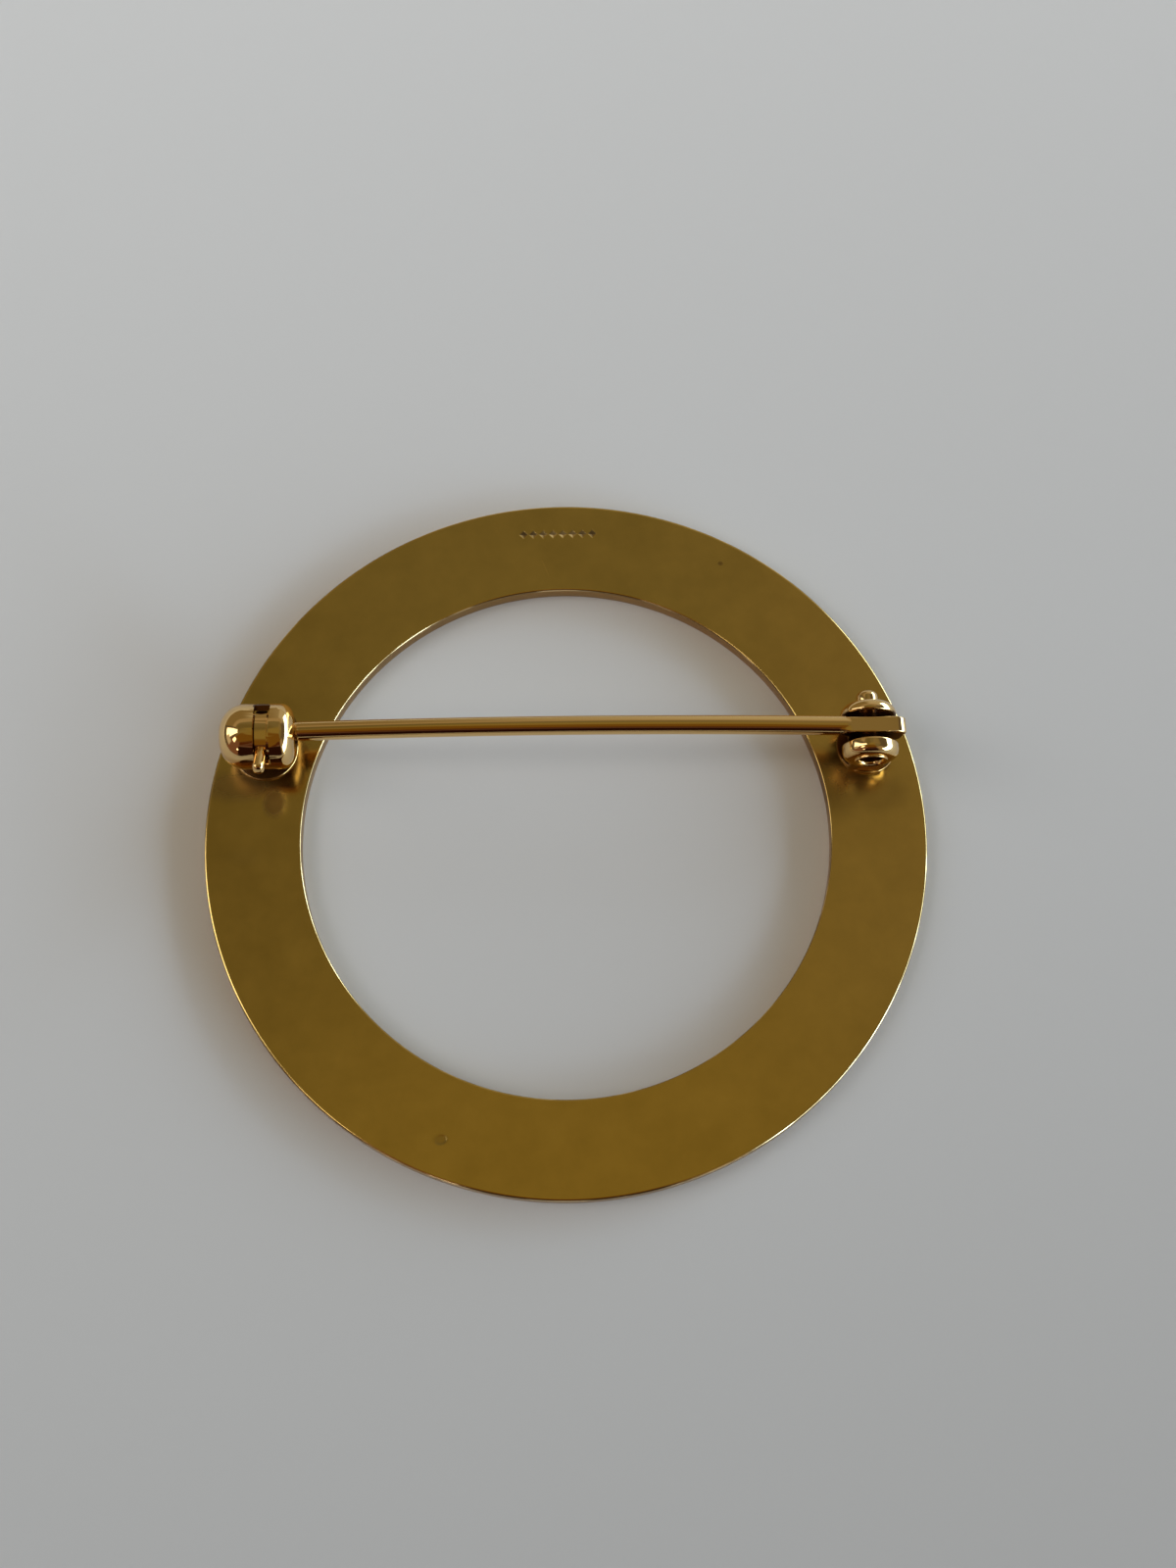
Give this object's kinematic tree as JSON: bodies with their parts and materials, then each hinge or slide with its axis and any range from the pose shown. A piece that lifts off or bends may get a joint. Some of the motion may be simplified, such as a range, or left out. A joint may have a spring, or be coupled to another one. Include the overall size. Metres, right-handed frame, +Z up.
{
  "type": "circle brooch",
  "caption": "Flat gold ring brooch lying face down, with a riveted hinged pin stem across its back and a round safety catch with a turning thumb lever.",
  "frame": {"origin": "centre of the ring, in the plane of its face that it rests on", "axes": "+Z up, out of the ring's back; X along the pin stem, from the catch at -X to the joint at +X; +Y across it, toward the side that the stem lies on"},
  "size_m": [0.04, 0.04, 0.0051],
  "materials": {
    "gold_satin": "satin gold, lightly worn",
    "gold_polished": "polished gold"
  },
  "bodies": {
    "frame": {"brooch_frame": "gold_satin"},
    "pivot": {"rivet": "gold_polished"},
    "pin": {"pin_stem": "gold_polished"},
    "rotor": {"catch_rotor": "gold_polished"}
  },
  "joints": [
    {"name": "pin_lift", "type": "hinge", "parent": "frame", "child": "pivot", "pos_m": [0.01679, 0.00483, 0.0033], "axis": [0, 1, 0], "range_deg": [0, 95]},
    {"name": "pin_sway", "type": "hinge", "parent": "pivot", "child": "pin", "pos_m": [0.01679, 0.00493, 0.0033], "axis": [0, 0, -1], "range_deg": [0, 5]},
    {"name": "catch_turn", "type": "hinge", "parent": "frame", "child": "rotor", "pos_m": [-0.0165, 0.00524, 0.00325], "axis": [-1, 0, 0], "range_deg": [0, 90]}
  ]
}
